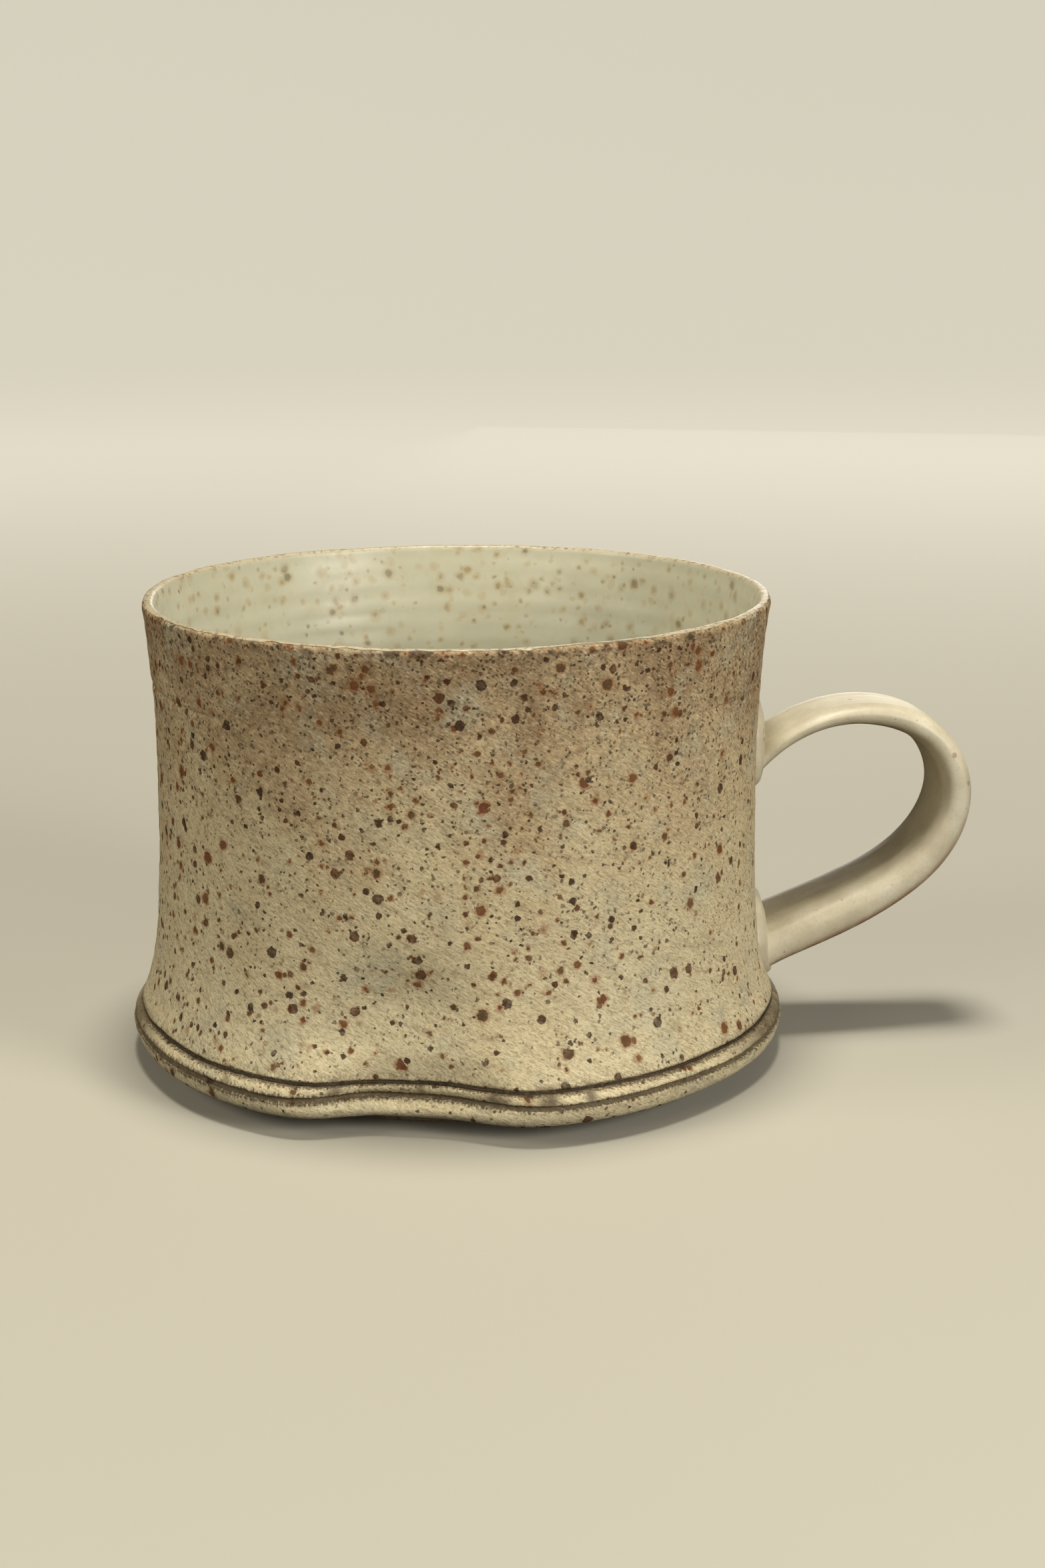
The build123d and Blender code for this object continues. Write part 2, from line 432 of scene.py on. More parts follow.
def srgb(red, green, blue):
    """A colour given as 11 to 255 on screen, as a linear colour for a node."""
    shares = [value / 255 for value in (red, green, blue)]
    return (*[((share + 0.055) / 1.055) ** 2.4 for share in shares], 1.0)


GRAIN_TWIST = 0.0233  # radians a millimetre of height
IRON_TINTS = [
    (0.0, srgb(58, 38, 22)),
    (0.3, srgb(70, 43, 24)),
    (0.5, srgb(94, 58, 32)),
    (0.65, srgb(80, 64, 40)),
    (0.8, srgb(116, 76, 44)),
    (1.0, srgb(104, 58, 34)),
]


def bare_clay_colour(paint):
    grain = paint.noise(0.9, 4, 0.7).outputs["Fac"]
    patch = paint.noise(14, 3, 0.6, shift=40).outputs["Fac"]
    toasted = paint.mix(paint.remap(patch, 0.35, 0.65), srgb(134, 110, 84), srgb(156, 134, 106))
    return paint.mix(paint.remap(grain, 0.55, 0.7), toasted, srgb(92, 72, 54))


WASH_EDGE = (0.36, 0.76)  # where the wash beside a line starts to fade and where it has gone


def glaze_ground(paint, up):
    """Cream at the base, browner upwards, with soft patches."""
    patch = paint.noise(17, 3, 0.55, shift=5).outputs["Fac"]
    cloud = paint.noise(6.5, 3, 0.6, shift=9).outputs["Fac"]
    shade = paint.math("ADD", up, paint.remap(patch, 0.3, 0.7, -0.22, 0.22))
    shade = paint.math("ADD", shade, paint.remap(cloud, 0.3, 0.7, -0.12, 0.12), clamp=True)
    ground = paint.ramp(
        shade,
        [
            (0.0, srgb(217, 202, 161)),
            (0.35, srgb(211, 193, 150)),
            (0.7, srgb(194, 170, 128)),
            (1.0, srgb(164, 138, 101)),
        ],
    )
    cool = paint.noise(9, 2, 0.5, shift=23).outputs["Fac"]
    return paint.mix(paint.remap(cool, 0.5, 0.72, 0.0, 0.5, smooth=True), ground, srgb(188, 184, 154))


def wiped_grain(paint, ground):
    """A slanting grain left by wiping the glaze, wound round the mug like a screw thread."""
    wound = paint.add("ShaderNodeVectorRotate", rotation_type="Z_AXIS")
    paint.tree.links.new(paint.place, wound.inputs["Vector"])
    paint.tree.links.new(paint.math("MULTIPLY", paint.height, GRAIN_TWIST), wound.inputs["Angle"])
    drawn_out = paint.vector("MULTIPLY", wound.outputs[0], (1.0, 1.0, 0.9))
    grain = paint.noise(0.52, 3, 0.65, place=drawn_out, shift=31).outputs["Fac"]
    streak = paint.noise(2.2, 3, 0.6, place=drawn_out, shift=37).outputs["Fac"]
    colour = paint.mix(paint.remap(grain, 0.48, 0.72, 0.0, 0.62), ground, srgb(100, 82, 56))
    colour = paint.mix(paint.remap(grain, 0.46, 0.3, 0.0, 0.45), colour, srgb(238, 226, 190))
    colour = paint.mix(paint.remap(streak, 0.5, 0.75, 0.0, 0.35), colour, srgb(126, 106, 78))
    # fine grit
    grit = paint.noise(0.34, 2, 0.6, shift=91).outputs["Fac"]
    colour = paint.mix(paint.remap(grit, 0.55, 0.75, 0.0, 0.4), colour, srgb(96, 78, 54))
    return colour, grain


def mottling(paint, colour, relief, up, ragged):
    """Small dark flecks in drifts, dense under the lip and sparse at the base."""
    drift = paint.noise(3.4, 3, 0.6, shift=47).outputs["Fac"]
    crowd = paint.math("ADD", up, paint.remap(drift, 0.3, 0.7, -0.35, 0.35))
    crowd = paint.math("ADD", crowd, paint.remap(paint.height, BASE + RIM - 20, BASE + RIM - 3, 0.0, 0.35))
    olive, umber = srgb(72, 60, 38), srgb(62, 43, 26)
    for cell, small, large, low_share, high_share, shift in (
        (0.8, 0.1, 0.36, 0.0, 1.0, 3.0),
        (1.05, 0.14, 0.42, 0.1, 1.0, 11.0),
        (1.35, 0.16, 0.44, 0.45, 0.95, 17.0),
    ):
        share = paint.remap(crowd, 0.0, 1.0, low_share, high_share)
        mask, _, draw, _ = paint.spots(cell, small, large, share, 0.12, ragged, shift)
        mask = paint.math("MULTIPLY", mask, paint.remap(draw, 0, 1, 0.35, 0.95))
        colour = paint.mix(mask, colour, paint.mix(draw, olive, umber))
        relief = paint.math("ADD", relief, paint.math("MULTIPLY", mask, -0.03))
    return colour, relief


def lip_blotches(paint, colour):
    """Broad dark blotches close under the lip."""
    blotch = paint.noise(1.5, 3, 0.7, shift=97).outputs["Fac"]
    high = paint.remap(paint.height, BASE + RIM - 38, BASE + RIM - 4, 0.1, 0.55)
    blotches = paint.math("MULTIPLY", high, paint.remap(blotch, 0.48, 0.68))
    return paint.mix(blotches, colour, srgb(84, 65, 44))


def iron_spots(paint, colour, relief, ragged):
    """Spots of two sizes, with ragged outlines, some with a rusty halo."""
    on_wall = paint.remap(paint.height, BASE + UPPER_GROOVE - 2, BASE + UPPER_GROOVE + 3, 0.3, 1.0)
    by_side = paint.remap(paint.towards_handle, -10, 50, 1.15, 0.6)
    crowding = paint.math("MULTIPLY", on_wall, by_side)
    for cell, small, large, share, soft, strength, shift in (
        (2.05, 0.3, 0.66, 0.75, 0.12, 0.95, 23.0),
        (3.4, 0.6, 1.16, 0.5, 0.18, 0.95, 29.0),
    ):
        share = paint.math("MULTIPLY", crowding, share)
        mask, reach, draw, present = paint.spots(cell, small, large, share, soft, ragged, shift)
        halo = paint.remap(reach, 1.0, 1.5, 0.5, 0.0, smooth=True)
        rusty = paint.math("MULTIPLY", paint.remap(draw, 0.4, 0.6), present)
        colour = paint.mix(paint.math("MULTIPLY", halo, rusty), colour, srgb(150, 98, 54))
        fade = paint.remap(paint.noise(1.2, 2, 0.6, shift=shift).outputs["Fac"], 0.3, 0.55, 0.75, 1.0)
        solid = paint.math("MULTIPLY", paint.math("MULTIPLY", mask, strength), fade)
        colour = paint.mix(solid, colour, paint.ramp(draw, IRON_TINTS))
        relief = paint.math("ADD", relief, paint.math("MULTIPLY", mask, -0.04))
    return colour, relief


def thin_under_lip(paint, colour):
    """A dark broken line where the glaze thins under the lip."""
    broken = paint.noise(2.6, 3, 0.6, shift=53).outputs["Fac"]
    near_lip = paint.remap(paint.height, BASE + LIP_START - 0.9, BASE + LIP_START - 0.1)
    dark = paint.math("MULTIPLY", near_lip, paint.remap(broken, 0.5, 0.6, 0.0, 0.75))
    return paint.mix(dark, colour, srgb(58, 44, 30))


def washed_grooves(paint, colour, smear):
    """Dark wash in and beside the grooves, its upper edge ragged."""
    tall = paint.vector("MULTIPLY", paint.place, (1, 1, 0.3))
    ticks = paint.noise(0.42, 3, 0.6, place=tall, shift=61).outputs["Fac"]
    rough_edge = paint.remap(ticks, 0.3, 0.7, -0.35, 0.35)
    washed = paint.math("MULTIPLY", paint.attribute("smear"), paint.remap(smear, 0.3, 0.6, 0.75, 1.0))
    for name in ("upper", "lower"):
        away = paint.math("ABSOLUTE", paint.attribute(name))
        away = paint.math("ADD", away, rough_edge)
        washed = paint.math("MAXIMUM", washed, paint.remap(away, *WASH_EDGE, 1.0, 0.0))
    above = paint.attribute("upper")
    fringe = paint.math("MULTIPLY", paint.remap(above, 0.3, 2.4, 0.85, 0.0), paint.remap(above, 0.0, 0.3))
    fringe = paint.math("MULTIPLY", fringe, paint.remap(ticks, 0.47, 0.6))
    washed = paint.math("MAXIMUM", washed, fringe)
    tone = paint.remap(paint.noise(1.1, 3, 0.65, shift=71).outputs["Fac"], 0.35, 0.65)
    dark = paint.mix(tone, srgb(54, 42, 28), srgb(90, 73, 50))
    return paint.mix(paint.math("MULTIPLY", washed, 0.86), colour, dark)


def speckled_glaze():
    """The dry oatmeal glaze outside: mottled near the lip, paler below, full of iron spots."""
    paint = Paint("speckled_glaze")
    up = paint.remap(paint.height, BASE + 14, BASE + RIM)
    colour, grain = wiped_grain(paint, glaze_ground(paint, up))
    ragged = paint.ragged_place(0.8, 2, 0.55, 0.9)
    relief = paint.math("MULTIPLY", grain, -0.05)
    colour, relief = mottling(paint, colour, relief, up, ragged)
    colour = lip_blotches(paint, colour)
    colour, relief = iron_spots(paint, colour, relief, ragged)
    colour = thin_under_lip(paint, colour)
    smear = paint.noise(1.6, 3, 0.65, shift=67).outputs["Fac"]
    colour = washed_grooves(paint, colour, smear)

    # the glaze stops short of the underside
    end = paint.math("ADD", paint.attribute("glazed"), paint.remap(smear, 0.3, 0.7, -0.3, 0.3))
    bare = paint.remap(end, -0.12, 0.12, 1.0, 0.0)
    colour = paint.mix(bare, colour, bare_clay_colour(paint))

    tooth = paint.noise(0.42, 3, 0.6, shift=73).outputs["Fac"]
    skin = paint.noise(1.9, 3, 0.5, shift=83).outputs["Fac"]
    relief = paint.math("ADD", relief, paint.math("MULTIPLY", tooth, 0.12))
    relief = paint.math("ADD", relief, paint.math("MULTIPLY", skin, 0.22))
    paint.bump(relief)
    rough = paint.remap(grain, 0.35, 0.65, 0.66, 0.54)
    return paint.finish(colour, paint.math("ADD", rough, paint.math("MULTIPLY", bare, 0.2)), 0.12)


def liner_glaze():
    """The smooth pale glaze inside, with soft sunken spots, thinner and creamier on the lip."""
    paint = Paint("liner_glaze")
    pool = paint.noise(26, 2, 0.5, shift=7).outputs["Fac"]
    depth = paint.remap(paint.height, BASE + FLOOR_HEIGHT, BASE + RIM)
    shade = paint.math("ADD", depth, paint.remap(pool, 0.3, 0.7, -0.25, 0.25), clamp=True)
    colour = paint.ramp(
        shade,
        [(0.0, srgb(171, 171, 149)), (0.5, srgb(187, 185, 162)), (1.0, srgb(190, 186, 159))],
    )
    cloud = paint.noise(3.2, 3, 0.6, shift=13).outputs["Fac"]
    colour = paint.mix(paint.remap(cloud, 0.45, 0.75, 0.0, 0.35), colour, srgb(178, 168, 128))
    ragged = paint.ragged_place(1.5, 1, 0.5, 0.9)
    layers = (
        (3.1, 0.45, 0.95, 0.75, 0.5, srgb(142, 112, 68), 0.55, 41.0),
        (3.5, 0.55, 1.15, 0.6, 0.55, srgb(88, 78, 56), 0.62, 3.0),
        (2.2, 0.25, 0.55, 0.7, 0.28, srgb(76, 62, 42), 0.58, 19.0),
    )
    for cell, small, large, share, soft, tint, strength, shift in layers:
        mask, reach, draw, present = paint.spots(cell, small, large, share, soft, ragged, shift)
        halo = paint.math("MULTIPLY", paint.remap(reach, 1.0, 1.6, 0.3, 0.0, smooth=True), present)
        colour = paint.mix(halo, colour, srgb(170, 146, 96))
        faded = paint.math("MULTIPLY", mask, paint.remap(draw, 0, 1, strength * 0.3, strength))
        colour = paint.mix(faded, colour, tint)
    lip = paint.attribute("lip")
    colour = paint.mix(paint.math("MULTIPLY", lip, 0.8), colour, srgb(178, 163, 130))
    lip_grain = paint.noise(0.9, 3, 0.65, shift=53).outputs["Fac"]
    flecks = paint.math("MULTIPLY", paint.remap(lip_grain, 0.54, 0.62), lip)
    colour = paint.mix(paint.math("MULTIPLY", flecks, 0.65), colour, srgb(104, 82, 54))
    skin = paint.noise(5, 2, 0.5, shift=29).outputs["Fac"]
    relief = paint.math("MULTIPLY", skin, 0.08)
    lumps = paint.math("MULTIPLY", paint.noise(1.6, 3, 0.6, shift=59).outputs["Fac"], lip)
    paint.bump(paint.math("ADD", relief, paint.math("MULTIPLY", lumps, 0.25)))
    return paint.finish(colour, paint.remap(cloud, 0.3, 0.7, 0.34, 0.44), 0.4)


def handle_glaze():
    """The paler glaze on the strap and its joints: few spots, tan where it breaks over an edge."""
    paint = Paint("handle_glaze")
    cloud = paint.noise(7, 3, 0.55, shift=3).outputs["Fac"]
    colour = paint.ramp(
        cloud,
        [(0.3, srgb(190, 179, 150)), (0.55, srgb(205, 195, 165)), (0.75, srgb(214, 206, 180))],
    )
    haze = paint.noise(0.6, 3, 0.6, shift=11).outputs["Fac"]
    colour = paint.mix(paint.remap(haze, 0.5, 0.75, 0.0, 0.3), colour, srgb(170, 150, 112))
    edge = paint.attribute("edge")
    broken = paint.noise(2.4, 3, 0.6, shift=37).outputs["Fac"]
    thin = paint.math("MULTIPLY", edge, paint.remap(broken, 0.35, 0.55, 0.3, 0.85))
    colour = paint.mix(thin, colour, srgb(158, 116, 74))
    ragged = paint.ragged_place(0.9, 2, 0.5, 0.6)
    layers = ((1.9, 0.12, 0.3, 0.3, 0.12, 0.6, 5.0), (3.6, 0.35, 0.8, 0.25, 0.35, 0.65, 31.0))
    for cell, small, large, share, soft, strength, shift in layers:
        mask, _, draw, _ = paint.spots(cell, small, large, share, soft, ragged, shift)
        faded = paint.math("MULTIPLY", mask, paint.remap(draw, 0, 1, strength * 0.5, strength))
        colour = paint.mix(faded, colour, paint.ramp(draw, IRON_TINTS))
    skin = paint.noise(3.2, 3, 0.5, shift=43).outputs["Fac"]
    tooth = paint.noise(0.5, 2, 0.5, shift=59).outputs["Fac"]
    relief = paint.math("ADD", paint.math("MULTIPLY", skin, 0.09), paint.math("MULTIPLY", tooth, 0.02))
    paint.bump(relief)
    return paint.finish(colour, paint.remap(cloud, 0.3, 0.7, 0.42, 0.5), 0.45)


def oxide_wash():
    """Dry dark iron wash, thin and brown in places."""
    paint = Paint("oxide_wash")
    grain = paint.noise(0.6, 3, 0.65, shift=3).outputs["Fac"]
    patch = paint.noise(5, 2, 0.5, shift=17).outputs["Fac"]
    colour = paint.mix(paint.remap(patch, 0.35, 0.7), srgb(54, 44, 31), srgb(76, 63, 44))
    colour = paint.mix(paint.remap(grain, 0.5, 0.7, 0.0, 0.7), colour, srgb(112, 96, 68))
    paint.bump(paint.math("MULTIPLY", grain, 0.06))
    return paint.finish(colour, 0.75, 0.25)


def bare_clay():
    """Unglazed stoneware, toasted brown, with fine grog."""
    paint = Paint("bare_clay")
    colour = bare_clay_colour(paint)
    grit = paint.noise(0.5, 3, 0.7, shift=21).outputs["Fac"]
    paint.bump(paint.math("MULTIPLY", grit, 0.09))
    return paint.finish(colour, 0.82, 0.25)


def studio_floor():
    """Pale matte paper that glows more the further it is from the mug, so the background stays even."""
    paint = Paint("studio_floor")
    drift = paint.noise(400, 2, 0.5).outputs["Fac"]
    colour = paint.mix(drift, srgb(174, 169, 152), srgb(178, 173, 156))
    reach = paint.add("ShaderNodeVectorMath", {0: paint.place}, operation="LENGTH").outputs["Value"]
    glow = paint.remap(reach, 60, 1000, 0.0, 0.62, smooth=True)
    paint.shader.inputs["Emission Color"].default_value = (1.0, 0.94, 0.77, 1.0)
    paint.tree.links.new(glow, paint.shader.inputs["Emission Strength"])
    return paint.finish(colour, 0.8, 0.2)


# ---- the clay body -------------------------------------------------------------------------------
def body_levels():
    """(height, plain radius) up the outside, from the underside's edge to where the lip rounds over."""
    rings = []
    for bend in np.radians(np.linspace(0, 90, 10)):
        height = ROLL_ROUNDING * (1 - math.cos(bend))
        rings.append((height, ROLL_RADIUS - ROLL_ROUNDING * (1 - math.sin(bend))))
    band_top = UPPER_GROOVE + 1.1
    for height in np.arange(ROLL_ROUNDING + 0.15, band_top, 0.16):
        share = step(height, ROLL_ROUNDING, LOWER_GROOVE + 1.2)
        crown = 0.22 * hill(height - (LOWER_GROOVE + UPPER_GROOVE) / 2, 0.5)
        rings.append((height, ROLL_RADIUS * (1 - share) + plain_radius(height) * share + crown))
    wall = np.arange(band_top + 0.3, LIP_START - 0.3, 1.1)
    near_line = np.arange(RIB_LINE - 1.3, RIB_LINE + 1.4, 0.2)
    for height in np.sort(np.concatenate([wall[np.abs(wall - RIB_LINE) > 1.5], near_line])):
        rings.append((height, plain_radius(height)))
    return rings


def lip_point(degrees, angle):
    """A point on the lip's rounded section: 0 is its outside, 90 its crest, 180 its inside."""
    outside = wall_radius(LIP_START, angle, plain_radius(LIP_START))
    half = LIP_WALL / 2
    lift = RIM - LIP_START + 0.05 * ripple(angle, list(range(5, 40, 4)), 53)
    bend = np.radians(degrees)
    return LIP_START + lift * np.sin(bend) ** 0.85, outside - half + half * np.cos(bend)


def make_body(material):
    """Outside wall, underside and the hidden face under the lining glaze, as one closed shell."""
    turn = angles(AROUND)
    rows = []
    marks = {"lower": [], "upper": [], "smear": [], "glazed": []}

    broad = 1 + BROAD_WASH_EXTRA * hill(turn - BROAD_WASH_ANGLE, BROAD_WASH_WIDTH)

    def put(height, radius, glazed=9.0):
        """Adds a ring; glazed is how far it is above the glaze's lower edge."""
        height = height + np.zeros(AROUND)
        rows.append(polar(radius, height + rim_lift(height, turn), turn))
        _, above_lower, above_upper = groove_cut(height, turn)
        marks["lower"].append(above_lower / broad)
        marks["upper"].append(above_upper)
        marks["smear"].append(smeared(height, turn))
        marks["glazed"].append(glazed + np.zeros(AROUND))

    # the underside, from its middle outwards
    trimmed = 0.12 * ripple(turn, [2, 3, 5], 41)
    for radius in (4, 14, 24, 34, 40, 48, 52, 54.5):
        pull = step(radius, 30, 57)
        dome = 0.5 * (1 - step(radius, 20, 40))
        around = radius + pull * pressed_by(0.0, turn)
        put(dome + 0.02 * np.sin(radius * 2.1) * (radius < 40), around, -9.0)
    # the base's rounded edge and the outside
    glaze_line = 0.15 + 0.3 * ripple(turn, [3, 5, 9, 14], 42)
    for height, radius in body_levels():
        depth, _, _ = groove_cut(height, turn)
        outer = wall_radius(height, turn, radius) - depth + trimmed * (height < 2.5)
        put(height, outer, height - glaze_line)
    # the outer half of the lip, which drops under the lining glaze towards the crest
    for degrees in (0, 15, 30, 45, 60, 75, 90):
        height, radius = lip_point(degrees, turn)
        under = 0.12 * step(degrees, 45, 75)
        put(height - under, radius - under)
    # down the inside of the clay, hidden by the lining glaze
    for height in (LIP_START - 1.0, 70, 60, 50, 40, 30, 22, 15, 10.5):
        outer = wall_radius(height, turn, plain_radius(height))
        put(height, outer - wall_thickness(height) + 0.75 * GLAZE)
    for radius in (47, 40, 20, 5):
        put(FLOOR_HEIGHT - 0.2, radius + step(radius, 20, 47) * pressed_by(6.0, turn) * 0.9)
    points, faces = capped_rings(np.array(rows))
    ends = {"lower": (-9, 9), "upper": (-9, 9), "smear": (0, 0), "glazed": (-9, 9)}
    marks = {key: np.append(np.array(marks[key]).ravel(), ends[key]) for key in marks}
    return new_piece("mug_body_visual", points, faces, material, "mug_body", marks)


# ---- the lining glaze ----------------------------------------------------------------------------
def make_liner(material):
    """From the middle of the floor, up the inside and over the lip's crest."""
    turn = angles(AROUND)
    rows, lips = [], []

    def put(height, radius, lip=0.0):
        rows.append(polar(radius, height + rim_lift(height, turn), turn))
        lips.append(lip + np.zeros(AROUND))

    def inner(height):
        return wall_radius(height, turn, plain_radius(height)) - wall_thickness(height)

    # the hidden side, from the floor's middle outwards and up
    for radius in (4, 20, 38, 46):
        put(FLOOR_HEIGHT - GLAZE + 0.1, radius + step(radius, 20, 46) * pressed_by(6.0, turn) * 0.85)
    for height in (11, 16, 24, 34, 46, 58, 70, LIP_START - 1.0):
        put(height, inner(height) + 0.5 * GLAZE)
    fine = 8 * ripple(turn, list(range(21, 110, 8)), 52)
    start = 46 + 14 * ripple(turn, [3, 5, 8, 13], 51) + fine
    height, radius = lip_point(start, turn)
    put(height - 0.35, radius - 0.35)
    put(height - 0.02, radius - 0.05)
    # the lip's rounded crest, from the glaze's ragged edge to the inside
    for share in np.linspace(0.08, 1.0, 13):
        height, radius = lip_point(start + (175 - start) * share, turn)
        put(height + 0.04, radius + 0.04 * (1 - share), 1 - step(share, 0.55, 0.95))
    # down the inside, with its throwing rings
    for height in np.linspace(LIP_START - 0.6, 13, 62):
        put(height, inner(height) + 0.025 * np.sin(height * 1.05 + np.radians(turn)))
    # the cove and the floor, with the spiral left by throwing
    for bend in np.radians(np.linspace(80, 0, 10)):
        height = FLOOR_HEIGHT + COVE * (1 - math.cos(bend))
        put(height, inner(height) - COVE * (1 - math.sin(bend)))
    floor_edge = inner(6.0) - COVE
    for share in np.linspace(0.97, 0.03, 44):
        radius = floor_edge * share
        spiral = 0.12 * np.sin(radius * 0.95 - np.radians(turn)) * step(radius, 0, 6)
        put(FLOOR_HEIGHT + 0.1 * (1 - share) + spiral * (1 - share**8), radius)
    points, faces = capped_rings(np.array(rows))
    marks = {"lip": np.append(np.array(lips).ravel(), [0.0, 0.0])}
    return new_piece("liner_glaze_visual", points, faces, material, "liner_glaze", marks)


# ---- the wash in the grooves ---------------------------------------------------------------------
def make_wash(name, centre, seed, material):
    """A thin uneven band on a groove's floor."""
    turn = angles(AROUND)
    middle = groove_centre(centre, turn, seed)
    cut, _, _ = groove_cut(middle, turn)
    floor = wall_radius(centre, turn, plain_radius(max(centre, WASH_RADIUS_HEIGHT))) - cut
    thick = WASH_THICKNESS + 0.05 * ripple(turn, list(range(17, 140, 11)), seed + 5)
    rows = []
    # the band's section: (up from the line's middle, share of the thickness outwards)
    for up, out in ((-0.3, -0.1), (-0.17, 0.8), (0.0, 1.0), (0.17, 0.8), (0.3, -0.1), (0.0, -0.6)):
        rows.append(polar(floor + thick * out, middle + up, turn))
    rows = np.array(rows)
    faces = ring_faces(len(rows), AROUND, closed=True)
    return new_piece(name + "_visual", rows.reshape(-1, 3), faces, material, name)


# ---- the foot ring -------------------------------------------------------------------------------
def make_foot(material):
    """A trimmed ring: slightly sloped sides, softened edges and fine tool lines."""
    count = 360
    turn = angles(count)
    height = foot_high[2]
    half = FOOT_WIDTH / 2
    middle = FOOT_RADIUS - half
    outer_side = [
        (half, height + 0.3),
        (half - 0.15, height * 0.6),
        (half - 0.35, 0.8),
        (half - 0.6, 0.3),
        (half - 1.0, 0.06),
        (half - 1.5, 0.0),
        (0.6, 0.0),
    ]
    outline = outer_side + [(-out, level) for out, level in reversed(outer_side)]
    rows = []
    for out, level in outline:
        uneven = 0.12 * ripple(turn, [2, 3, 5], 61, level, 0.3)
        uneven = uneven + 0.03 * ripple(turn, [17, 23, 31], 62, level, 2.0)
        radius = middle + out + uneven * step(level, 0.0, 0.8)
        rows.append(polar(radius, np.full(count, level - BASE), turn))
    rows = np.array(rows)[::-1]
    faces = ring_faces(len(rows), count, closed=True)
    return new_piece("foot_ring_visual", rows.reshape(-1, 3), faces, material, "foot_ring")


# ---- the handle ----------------------------------------------------------------------------------
STRAP_TOP_WIDTH = 15.0
STRAP_WIDENING = 6.0
STRAP_TOP_THICKNESS = 3.5
STRAP_THICKENING = 5.0
STRAP_THICKENS = (0.07, 0.83)  # shares of the strap's length between which it thickens
STRAP_SINK = 1.0  # how far under the wall's surface the strap's ends stop
# the strap's middle line: (x, height above the table)
STRAP_LINE = [
    (52.0, 49.0),
    (58.4, 54.7),
    (67.2, 58.9),
    (76.5, 59.6),
    (86.6, 55.8),
    (92.0, 45.5),
    (88.7, 35.0),
    (79.2, 26.7),
    (67.0, 20.9),
    (52.0, 15.0),
]


def smooth_line(points, count):
    """A natural cubic curve through the points, evenly parted by chord.

    Gives its points, its unit tangents and each point's share of the way along.
    """
    points = np.array(points, float)
    knots = np.concatenate([[0], np.cumsum(np.linalg.norm(np.diff(points, axis=0), axis=1))])
    gaps = np.diff(knots)
    system = np.eye(len(points))
    target = np.zeros_like(points)
    for inner in range(1, len(points) - 1):
        before, after = gaps[inner - 1], gaps[inner]
        system[inner, inner - 1 : inner + 2] = before, 2 * (before + after), after
        slope_after = (points[inner + 1] - points[inner]) / after
        target[inner] = 6 * (slope_after - (points[inner] - points[inner - 1]) / before)
    bend = np.linalg.solve(system, target)
    at = np.linspace(0, knots[-1], count)
    piece = np.clip(np.searchsorted(knots, at, side="right") - 1, 0, len(gaps) - 1)
    gap = gaps[piece][:, None]
    right = (at - knots[piece])[:, None]
    left = gap - right
    line = (bend[piece] * left**3 + bend[piece + 1] * right**3) / (6 * gap)
    line += (points[piece] / gap - bend[piece] * gap / 6) * left
    line += (points[piece + 1] / gap - bend[piece + 1] * gap / 6) * right
    tangent = np.gradient(line, axis=0)
    return line, tangent / np.linalg.norm(tangent, axis=1)[:, None], at / knots[-1]


def strap_rows(line, tangent, along, round_count):
    """Rings of points along the strap, and how exposed each point is to the glaze thinning."""
    section = np.arange(round_count) * 2 * np.pi / round_count
    rows, edges = [], []
    for (x, z), (tx, tz), share in zip(line, tangent, along):
        upper_root, lower_root = hill(share, 0.035), hill(1 - share, 0.04)
        width = STRAP_TOP_WIDTH + STRAP_WIDENING * share**1.5
        width = width + 1.6 * (upper_root + lower_root) + 0.25 * np.sin(share * 17)
        thick = strap_thickness(share) + 1.0 * lower_root + 0.12 * np.sin(share * 23 + 1)
        across = np.sign(np.cos(section)) * np.abs(np.cos(section)) ** 0.66
        out = np.sign(np.sin(section)) * np.abs(np.sin(section)) ** 0.8
        ridges = 0.05 * np.sin(across * 9 + 2 * np.sin(share * 5)) + 0.03 * np.sin(across * 23 + share * 11)
        hollow = -0.15 * hill(across, 0.35) * (out > 0)
        offset = out * thick / 2 + (ridges + hollow) * np.sign(out) * (np.abs(out) > 0.3)
        # out is towards the strap's outer face, which looks away from the wall
        px, pz = x - tz * offset, z + tx * offset
        py = across * width / 2
        rows.append(np.stack([px, py, pz], axis=-1))
        corner = hill(np.abs(across) - 0.88, 0.09) * hill(np.abs(out) - 0.66, 0.26)
        edges.append(corner * step(share, 0.45, 0.7) * (out > 0))
    return np.array(rows), np.array(edges)


def strap_thickness(share):
    return STRAP_TOP_THICKNESS + STRAP_THICKENING * step(share, *STRAP_THICKENS)


def make_strap(material):
    """A pulled strap: rounded edges, faint lengthwise ridges, spreading where it meets the wall."""
    line, tangent, along = smooth_line(STRAP_LINE, 260)
    rows, edges = strap_rows(line, tangent, along, 72)
    # where the strap would run on inside the clay it follows the wall, just under its surface
    angle = np.degrees(np.arctan2(rows[..., 1], rows[..., 0]))
    height = rows[..., 2] - BASE
    reach = np.hypot(rows[..., 0], rows[..., 1])
    wall = wall_radius(height, angle, plain_radius(height)) - STRAP_SINK
    push = np.where(reach < wall, wall / reach, 1.0)
    rows[..., 0] *= push
    rows[..., 1] *= push
    points, faces = capped_rings(rows)
    faces = [face[::-1] for face in faces]
    marks = {"edge": np.append(edges.ravel(), [0.0, 0.0])}
    return new_piece("handle_strap_visual", points, faces, material, "handle_strap", marks)


UPPER_THICKNESS = 2.2
UPPER_STRETCH = 1.0  # how much further its edge is smeared up and down the wall
LOWER_THICKNESS = 1.9
JOINT_INSET = 0.4  # how much lower than its CAD solid a joint is, above and below its middle


